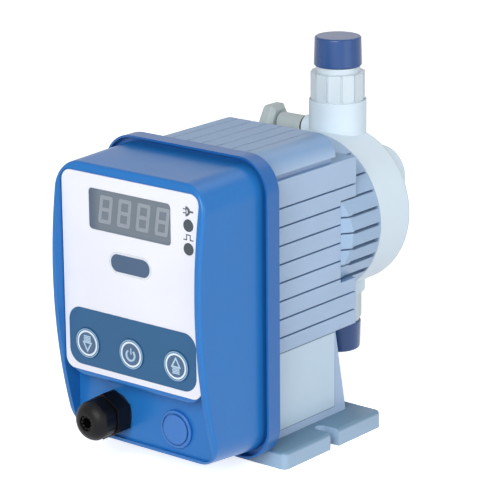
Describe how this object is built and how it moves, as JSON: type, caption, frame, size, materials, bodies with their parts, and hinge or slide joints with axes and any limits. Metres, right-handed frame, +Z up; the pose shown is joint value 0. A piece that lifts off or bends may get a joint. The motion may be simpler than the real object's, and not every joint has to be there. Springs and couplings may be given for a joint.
{
  "type": "chemical dosing pump",
  "caption": "Solenoid diaphragm dosing pump with a blue control housing, a ribbed body on a slotted foot and a round pump head with capped ports.",
  "frame": {"origin": "middle of the mounting foot's underside", "axes": "+Z up along the outlet; the operating panel faces -Y and the pump head faces +Y; +X is to the right of someone who reads the panel"},
  "size_m": [0.115, 0.2077, 0.2047],
  "materials": {
    "cover_blue": "moulded, satin gloss",
    "rim_blue": "moulded, satin gloss",
    "seal_black": "matte",
    "panel_white": "satin sheet",
    "field_slate": "satin sheet",
    "window_tint": "polished, tinted",
    "display_dark": "matte",
    "lamp_lens": "polished",
    "key_slate": "satin",
    "switch_black": "matte",
    "board_green": "lacquered board",
    "screw_steel": "zinc plated",
    "gland_black": "matte",
    "plug_blue": "satin",
    "body_grey": "satin coat",
    "foot_grey": "satin coat",
    "drum_grey": "satin",
    "magnet_steel": "plain",
    "rod_steel": "ground",
    "bobbin_white": "matte",
    "copper": "enamelled wire",
    "bush_bronze": "plain",
    "diaphragm_white": "smooth film",
    "head_white": "moulded, satin",
    "fitting_white": "moulded, satin",
    "ball_ceramic": "polished",
    "cap_blue": "moulded, satin",
    "knob_grey": "moulded, satin"
  },
  "bodies": {
    "housing": {"control_cover": "cover_blue", "housing_rim": "rim_blue", "rim_gasket": "seal_black", "membrane_panel": "panel_white", "key_field": "field_slate", "display_window": "window_tint", "display_module": "display_dark", "indicator_lamps": "lamp_lens", "tact_switches": "switch_black", "control_board": "board_green", "board_screws": "screw_steel", "gland_body": "gland_black", "gland_nut": "gland_black", "gland_seal": "seal_black", "gland_locknut": "gland_black", "blanking_plug": "plug_blue", "blanking_nut": "gland_black", "cover_screws": "screw_steel", "rim_screws": "screw_steel", "foot_screws": "screw_steel", "finned_housing": "body_grey", "mounting_foot": "foot_grey", "magnet_yoke": "magnet_steel", "yoke_plate": "magnet_steel", "pole_piece": "magnet_steel", "stop_cap": "bobbin_white", "coil_bobbin": "bobbin_white", "coil_winding": "copper", "return_spring": "rod_steel", "guide_bush": "bush_bronze", "head_adapter": "drum_grey", "adapter_screws": "screw_steel", "backing_ring": "head_white", "diaphragm": "diaphragm_white", "pump_head": "head_white", "head_bolts": "screw_steel", "outlet_fitting": "fitting_white", "outlet_seat": "seal_black", "outlet_o_ring": "seal_black", "outlet_cage": "fitting_white", "inlet_fitting": "fitting_white", "inlet_seat": "seal_black", "inlet_o_ring": "seal_black", "bleed_body": "knob_grey", "bleed_o_ring": "seal_black"},
    "plunger": {"armature": "magnet_steel", "push_rod": "rod_steel", "diaphragm_hub": "rod_steel"},
    "key_down": {"key_down": "key_slate"},
    "key_power": {"key_power": "key_slate"},
    "key_up": {"key_up": "key_slate"},
    "outlet_cap": {"outlet_cap": "cap_blue"},
    "inlet_cap": {"inlet_cap": "cap_blue"},
    "outlet_ball": {"outlet_ball": "ball_ceramic"},
    "inlet_ball": {"inlet_ball": "ball_ceramic"},
    "bleed_needle": {"bleed_needle": "rod_steel"},
    "bleed_knob": {"bleed_knob": "knob_grey"}
  },
  "joints": [
    {"name": "plunger_stroke", "type": "slide", "parent": "housing", "child": "plunger", "axis": [0, 1, 0], "range_m": [0, 0.00125], "stiffness_N_per_m": 4000, "springref_m": -0.002, "deforming": ["return_spring", "diaphragm"]},
    {"name": "key_down_press", "type": "slide", "parent": "housing", "child": "key_down", "axis": [0, 1, 0], "range_m": [0, 0.0004], "stiffness_N_per_m": 1500, "springref_m": -0.0005},
    {"name": "key_power_press", "type": "slide", "parent": "housing", "child": "key_power", "axis": [0, 1, 0], "range_m": [0, 0.0004], "stiffness_N_per_m": 1500, "springref_m": -0.0005},
    {"name": "key_up_press", "type": "slide", "parent": "housing", "child": "key_up", "axis": [0, 1, 0], "range_m": [0, 0.0004], "stiffness_N_per_m": 1500, "springref_m": -0.0005},
    {"name": "outlet_cap_pull", "type": "slide", "parent": "housing", "child": "outlet_cap", "axis": [0, 0, 1], "range_m": [0, 0.03]},
    {"name": "inlet_cap_pull", "type": "slide", "parent": "housing", "child": "inlet_cap", "axis": [0, 0, -1], "range_m": [0, 0.024]},
    {"name": "outlet_ball_lift", "type": "slide", "parent": "housing", "child": "outlet_ball", "axis": [0, 0, 1], "range_m": [0, 0.002]},
    {"name": "inlet_ball_lift", "type": "slide", "parent": "housing", "child": "inlet_ball", "axis": [0, 0, 1], "range_m": [0, 0.002]},
    {"name": "bleed_needle_slide", "type": "slide", "parent": "housing", "child": "bleed_needle", "axis": [-1, 0, 0], "range_m": [0, 0.00076]},
    {"name": "bleed_knob_turn", "type": "hinge", "parent": "bleed_needle", "child": "bleed_knob", "pos_m": [-0.042, 0.078, 0.1507], "axis": [-1, 0, 0], "range_deg": [0, 270]}
  ],
  "couplings": [
    {"joint": "bleed_needle_slide", "follows": "bleed_knob_turn", "m_per_rad": 0.00015915}
  ]
}
